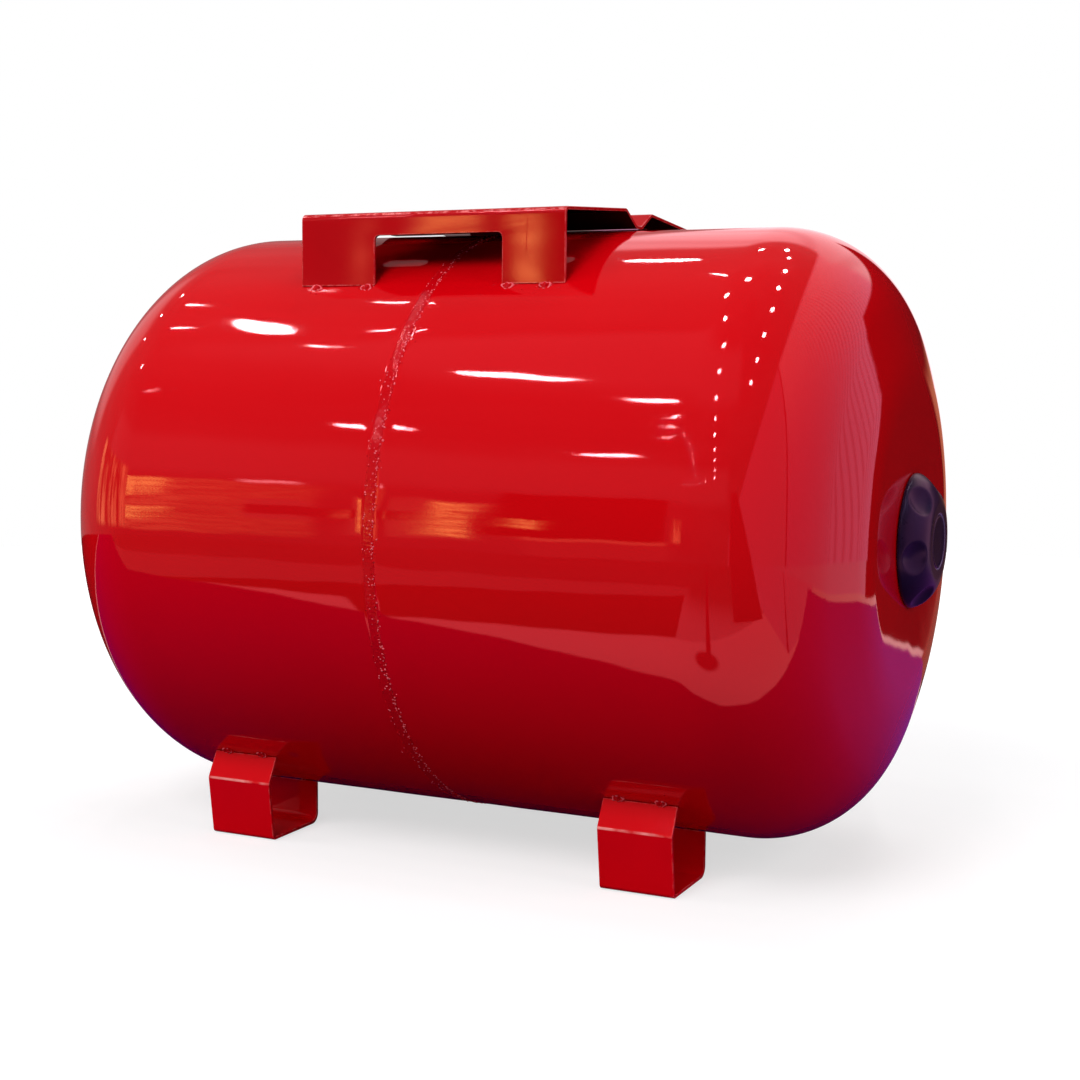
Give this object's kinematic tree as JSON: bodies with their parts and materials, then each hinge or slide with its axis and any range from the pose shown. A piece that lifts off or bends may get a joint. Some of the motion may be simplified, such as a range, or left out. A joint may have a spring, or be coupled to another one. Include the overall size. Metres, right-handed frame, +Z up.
{
  "type": "horizontal pressure tank",
  "caption": "Horizontal cylindrical pressure tank with domed ends, a folded pump platform on top, folded sheet feet, a bolted water flange and a covered air valve.",
  "frame": {"origin": "on the floor, midway between the four feet's bolt holes", "axes": "+Z up, +X along the tank towards the air valve, -Y the side with the picture's view"},
  "size_m": [0.5845, 0.3676, 0.3937],
  "materials": {
    "shell_enamel": "gloss",
    "sheet_enamel": "gloss",
    "weld_enamel": "gloss",
    "zinc_plate": "satin",
    "bladder_rubber": "matte",
    "valve_brass": "satin",
    "dust_cap_plastic": "matte",
    "cover_plastic": "semi-gloss"
  },
  "bodies": {
    "tank": {"shell_water_side": "shell_enamel", "shell_air_side": "shell_enamel", "pump_platform": "sheet_enamel", "foot_front_left": "sheet_enamel", "foot_front_right": "sheet_enamel", "foot_rear_left": "sheet_enamel", "foot_rear_right": "sheet_enamel", "neck_collar": "sheet_enamel", "valve_bush": "sheet_enamel", "girth_weld": "weld_enamel", "neck_weld": "weld_enamel", "platform_welds_front": "weld_enamel", "platform_welds_rear": "weld_enamel", "foot_welds_front_left": "weld_enamel", "foot_welds_front_right": "weld_enamel", "foot_welds_rear_left": "weld_enamel", "foot_welds_rear_right": "weld_enamel", "counter_flange": "zinc_plate", "water_connection": "zinc_plate", "flange_bolt_1": "zinc_plate", "flange_bolt_2": "zinc_plate", "flange_bolt_3": "zinc_plate", "flange_bolt_4": "zinc_plate", "flange_bolt_5": "zinc_plate", "flange_bolt_6": "zinc_plate", "flange_nut_1": "zinc_plate", "flange_nut_2": "zinc_plate", "flange_nut_3": "zinc_plate", "flange_nut_4": "zinc_plate", "flange_nut_5": "zinc_plate", "flange_nut_6": "zinc_plate", "bladder": "bladder_rubber", "valve_stem": "valve_brass"},
    "cover": {"valve_cover": "cover_plastic"},
    "dust_cap": {"valve_dust_cap": "dust_cap_plastic"},
    "pin": {"valve_pin": "valve_brass"}
  },
  "joints": [
    {"name": "cover_pull", "type": "slide", "parent": "tank", "child": "cover", "axis": [1, 0, 0], "range_m": [0, 0.02]},
    {"name": "dust_cap_turn", "type": "hinge", "parent": "tank", "child": "dust_cap", "pos_m": [0.2694, 0, 0.1986], "axis": [1, 0, 0], "range_deg": [0, 360]},
    {"name": "pin_press", "type": "slide", "parent": "tank", "child": "pin", "axis": [-1, 0, 0], "range_m": [0, 0.0012], "stiffness_N_per_m": 300, "springref_m": -0.001}
  ]
}
